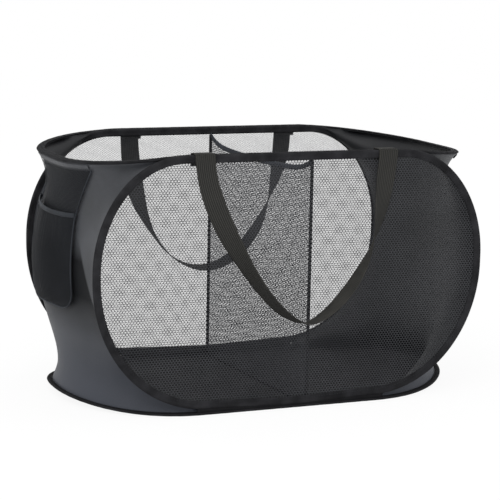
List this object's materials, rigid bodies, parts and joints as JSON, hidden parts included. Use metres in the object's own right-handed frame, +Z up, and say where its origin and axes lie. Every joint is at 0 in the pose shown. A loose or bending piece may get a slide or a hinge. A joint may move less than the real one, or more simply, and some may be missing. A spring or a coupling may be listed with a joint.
{
  "type": "pop up laundry hamper",
  "caption": "Folding mesh laundry hamper with an oval open top, a cross divider, an end pocket, two webbing handles and sprung wire loops in sewn bindings.",
  "frame": {"origin": "on the floor, under the middle of the hamper's bounding box", "axes": "+X along the hamper's length, +Y from the front panel to the back panel, +Z up"},
  "size_m": [0.6532, 0.4276, 0.3824],
  "materials": {
    "binding": "matt folded polyester tape",
    "steel": "spring steel wire and plain sleeves",
    "mesh": "open hexagonal polyester mesh",
    "floor_cloth": "plain polyester cloth",
    "end_cloth": "smooth coated polyester cloth with a soft sheen",
    "hem_cloth": "smooth folded cloth",
    "webbing": "plain woven polyester webbing"
  },
  "bodies": {
    "base": {"base_binding": "binding", "base_wire": "steel", "base_ferrule": "steel", "floor_panel": "floor_cloth", "divider_floor_tape": "binding", "left_end_panel": "end_cloth", "right_end_panel": "end_cloth", "divider_mesh": "mesh", "divider_top_hem": "hem_cloth"},
    "front_panel": {"front_binding": "binding", "front_wire": "steel", "front_ferrule": "steel", "front_mesh": "mesh", "divider_front_tape": "binding", "front_handle_left_end": "webbing", "front_handle_right_end": "webbing"},
    "back_panel": {"back_binding": "binding", "back_wire": "steel", "back_ferrule": "steel", "back_mesh": "mesh", "divider_back_tape": "binding", "back_handle_left_end": "webbing", "back_handle_right_end": "webbing"},
    "rim": {"rim_binding": "binding", "rim_wire": "steel", "rim_ferrule": "steel", "left_top_hem": "hem_cloth", "right_top_hem": "hem_cloth", "pocket_back_mesh": "mesh", "pocket_front_mesh": "mesh", "pocket_mouth_hem": "hem_cloth", "pocket_piping": "hem_cloth"},
    "front_handle": {"front_handle_strap": "webbing"},
    "back_handle": {"back_handle_strap": "webbing"}
  },
  "joints": [
    {"name": "front_fold", "type": "hinge", "parent": "base", "child": "front_panel", "pos_m": [0, -0.1752, 0.0054], "axis": [-1, 0, 0], "range_deg": [0, 84], "stiffness_Nm_per_rad": 5, "deforming": ["left_end_panel", "right_end_panel", "divider_mesh", "divider_top_hem"]},
    {"name": "back_fold", "type": "hinge", "parent": "base", "child": "back_panel", "pos_m": [0, 0.1798, 0.0054], "axis": [-1, 0, 0], "range_deg": [0, 84]},
    {"name": "rim_level", "type": "hinge", "parent": "front_panel", "child": "rim", "pos_m": [0, -0.1752, 0.3824], "axis": [1, 0, 0], "range_deg": [0, 84], "deforming": ["left_top_hem", "right_top_hem", "pocket_back_mesh", "pocket_front_mesh", "pocket_mouth_hem", "pocket_piping"]},
    {"name": "front_handle_swing", "type": "hinge", "parent": "front_panel", "child": "front_handle", "pos_m": [0, -0.1827, 0.3824], "axis": [-1, 0, 0], "range_deg": [0, 175]},
    {"name": "back_handle_swing", "type": "hinge", "parent": "back_panel", "child": "back_handle", "pos_m": [0, 0.1936, 0.3767], "axis": [1, 0, 0], "range_deg": [0, 175]}
  ],
  "couplings": [
    {"joint": "back_fold", "follows": "front_fold", "ratio": 1},
    {"joint": "rim_level", "follows": "front_fold", "ratio": 1}
  ]
}
